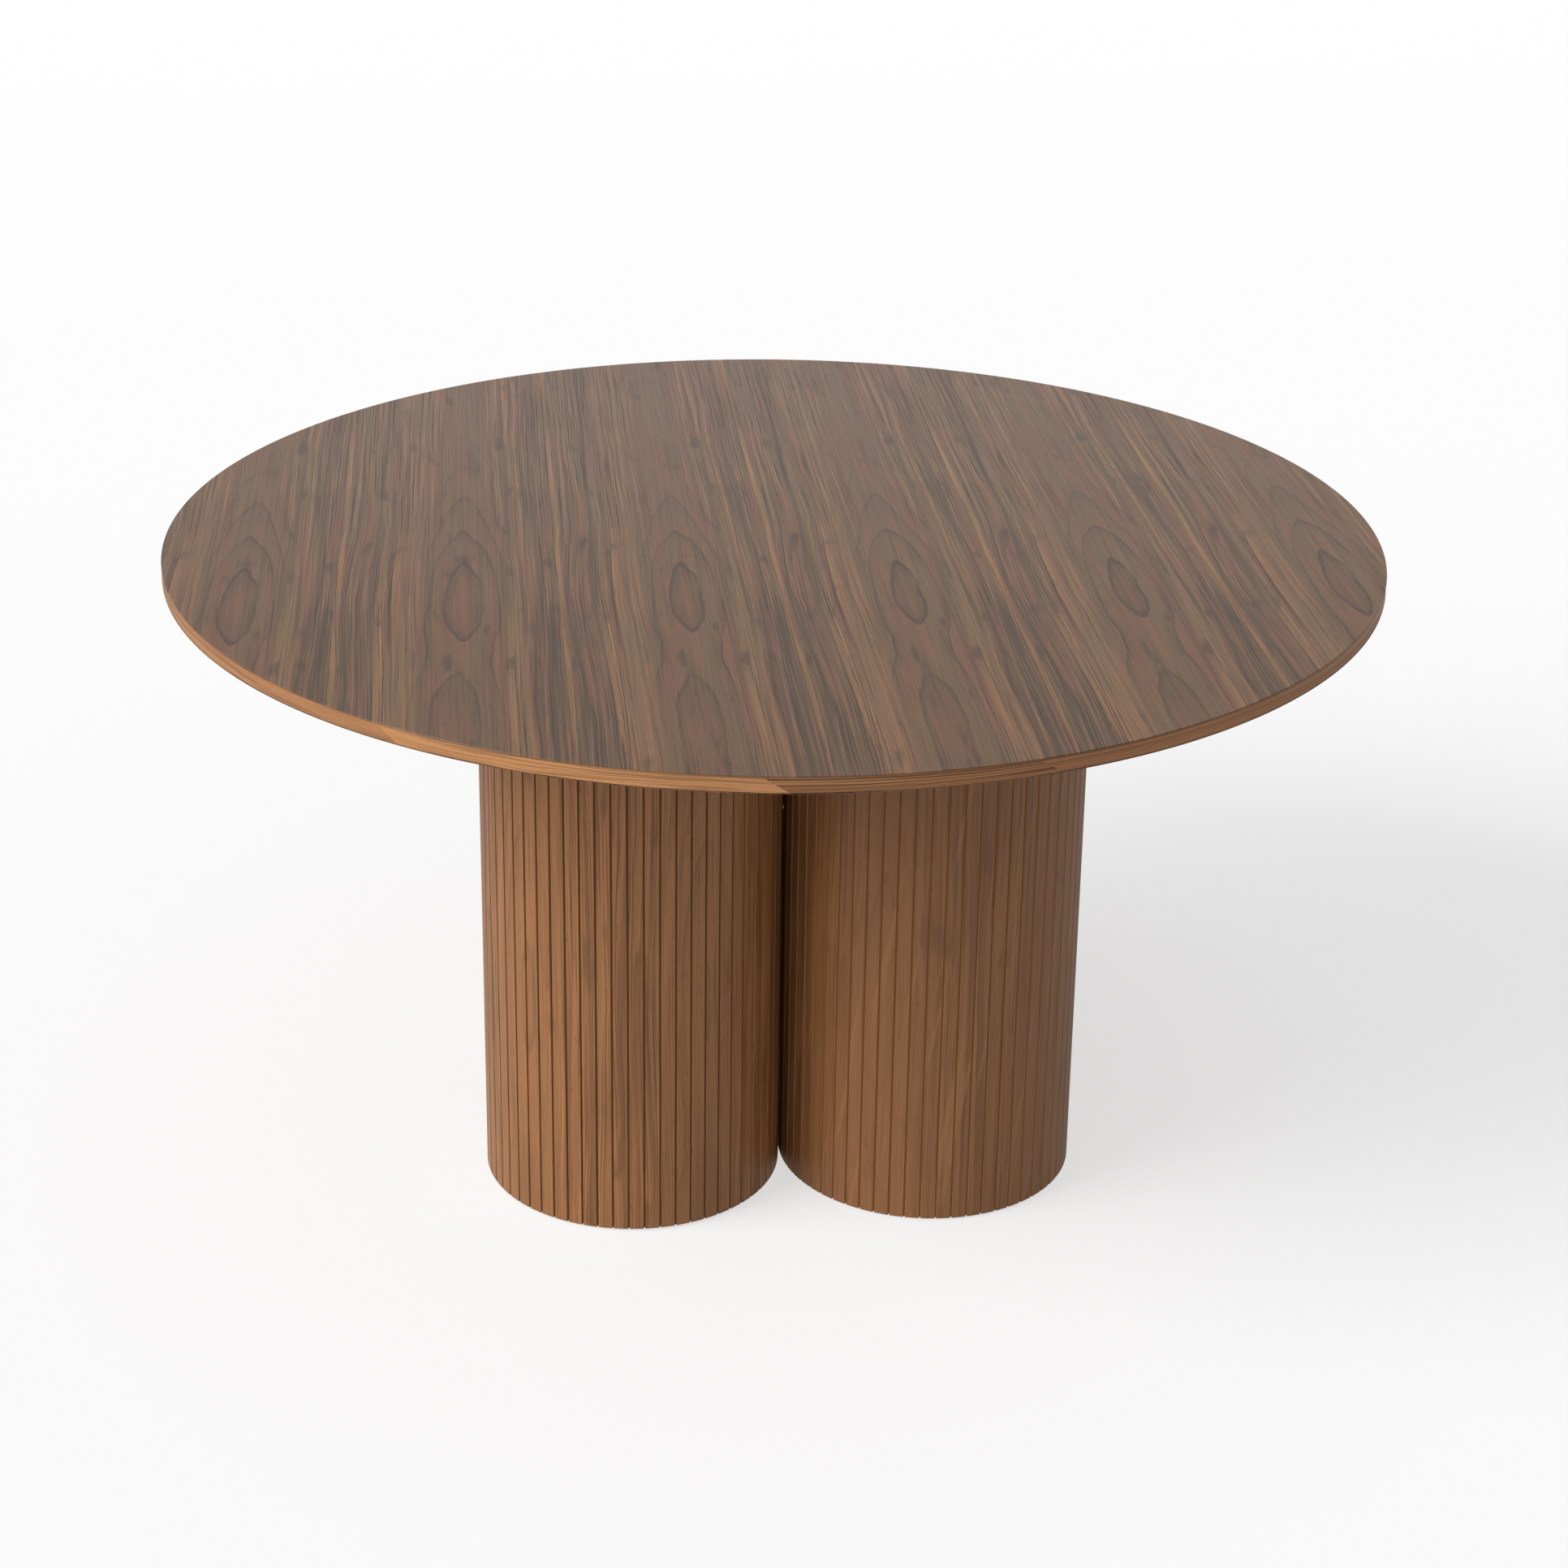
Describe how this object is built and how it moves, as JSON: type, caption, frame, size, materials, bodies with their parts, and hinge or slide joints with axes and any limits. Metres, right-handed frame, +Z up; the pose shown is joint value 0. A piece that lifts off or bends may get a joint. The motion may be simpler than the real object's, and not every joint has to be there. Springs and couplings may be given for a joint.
{
  "type": "pedestal table",
  "caption": "Round dining table: a thin veneered disc top with slip-matched leaves and a solid lipping, on a cluster of touching fluted cylinders with levelling feet.",
  "frame": {"origin": "the floor under the middle of the round top", "axes": "+Z up; X and Y along the sides of the square of columns; the grain of the top runs along Y, and the pictured side faces -Y"},
  "size_m": [1.5, 1.5, 0.77],
  "materials": {
    "walnut_face_veneer": "satin walnut veneer, grain along Y",
    "walnut_lipping": "satin solid wood, grain round the rim",
    "walnut_column_veneer": "satin walnut veneer, grain upright",
    "fibreboard": "raw fibreboard",
    "zinc_plated_steel": "zinc plated",
    "black_nylon": "matt"
  },
  "bodies": {
    "table": {"face_leaf_1": "walnut_face_veneer", "face_leaf_2": "walnut_face_veneer", "face_leaf_3": "walnut_face_veneer", "face_leaf_4": "walnut_face_veneer", "face_leaf_5": "walnut_face_veneer", "face_leaf_6": "walnut_face_veneer", "backing_veneer": "walnut_face_veneer", "top_core": "fibreboard", "edge_band_1": "walnut_lipping", "edge_band_2": "walnut_lipping", "edge_band_3": "walnut_lipping", "edge_band_4": "walnut_lipping", "edge_band_5": "walnut_lipping", "edge_band_6": "walnut_lipping", "edge_band_7": "walnut_lipping", "edge_band_8": "walnut_lipping", "column_shell_front_left": "walnut_column_veneer", "top_disc_front_left": "fibreboard", "bottom_ring_front_left": "fibreboard", "top_bolt_front_left": "zinc_plated_steel", "threaded_insert_front_left": "zinc_plated_steel", "foot_tee_nut_front_left": "zinc_plated_steel", "column_shell_front_right": "walnut_column_veneer", "top_disc_front_right": "fibreboard", "bottom_ring_front_right": "fibreboard", "top_bolt_front_right": "zinc_plated_steel", "threaded_insert_front_right": "zinc_plated_steel", "foot_tee_nut_front_right": "zinc_plated_steel", "column_shell_back_left": "walnut_column_veneer", "top_disc_back_left": "fibreboard", "bottom_ring_back_left": "fibreboard", "top_bolt_back_left": "zinc_plated_steel", "threaded_insert_back_left": "zinc_plated_steel", "foot_tee_nut_back_left": "zinc_plated_steel", "column_shell_back_right": "walnut_column_veneer", "top_disc_back_right": "fibreboard", "bottom_ring_back_right": "fibreboard", "top_bolt_back_right": "zinc_plated_steel", "threaded_insert_back_right": "zinc_plated_steel", "foot_tee_nut_back_right": "zinc_plated_steel", "connector_bolt_front": "zinc_plated_steel", "connector_nut_front": "zinc_plated_steel", "connector_bolt_right": "zinc_plated_steel", "connector_nut_right": "zinc_plated_steel", "connector_bolt_back": "zinc_plated_steel", "connector_nut_back": "zinc_plated_steel", "connector_bolt_left": "zinc_plated_steel", "connector_nut_left": "zinc_plated_steel"},
    "pad_front_left": {"foot_pad_front_left": "black_nylon"},
    "stud_front_left": {"foot_stud_front_left": "zinc_plated_steel"},
    "pad_front_right": {"foot_pad_front_right": "black_nylon"},
    "stud_front_right": {"foot_stud_front_right": "zinc_plated_steel"},
    "pad_back_left": {"foot_pad_back_left": "black_nylon"},
    "stud_back_left": {"foot_stud_back_left": "zinc_plated_steel"},
    "pad_back_right": {"foot_pad_back_right": "black_nylon"},
    "stud_back_right": {"foot_stud_back_right": "zinc_plated_steel"}
  },
  "joints": [
    {"name": "foot_extension_front_left", "type": "slide", "parent": "table", "child": "pad_front_left", "axis": [0, 0, -1], "range_m": [0, 0.01]},
    {"name": "foot_turn_front_left", "type": "hinge", "parent": "pad_front_left", "child": "stud_front_left", "pos_m": [-0.27127, -0.27127, 0.02], "axis": [0, 0, -1], "range_deg": [0, 2880]},
    {"name": "foot_extension_front_right", "type": "slide", "parent": "table", "child": "pad_front_right", "axis": [0, 0, -1], "range_m": [0, 0.01]},
    {"name": "foot_turn_front_right", "type": "hinge", "parent": "pad_front_right", "child": "stud_front_right", "pos_m": [0.27127, -0.27127, 0.02], "axis": [0, 0, -1], "range_deg": [0, 2880]},
    {"name": "foot_extension_back_left", "type": "slide", "parent": "table", "child": "pad_back_left", "axis": [0, 0, -1], "range_m": [0, 0.01]},
    {"name": "foot_turn_back_left", "type": "hinge", "parent": "pad_back_left", "child": "stud_back_left", "pos_m": [-0.27127, 0.27127, 0.02], "axis": [0, 0, -1], "range_deg": [0, 2880]},
    {"name": "foot_extension_back_right", "type": "slide", "parent": "table", "child": "pad_back_right", "axis": [0, 0, -1], "range_m": [0, 0.01]},
    {"name": "foot_turn_back_right", "type": "hinge", "parent": "pad_back_right", "child": "stud_back_right", "pos_m": [0.27127, 0.27127, 0.02], "axis": [0, 0, -1], "range_deg": [0, 2880]}
  ],
  "couplings": [
    {"joint": "foot_turn_front_left", "follows": "foot_extension_front_left", "rad_per_m": 5026.5},
    {"joint": "foot_turn_front_right", "follows": "foot_extension_front_right", "rad_per_m": 5026.5},
    {"joint": "foot_turn_back_left", "follows": "foot_extension_back_left", "rad_per_m": 5026.5},
    {"joint": "foot_turn_back_right", "follows": "foot_extension_back_right", "rad_per_m": 5026.5}
  ]
}
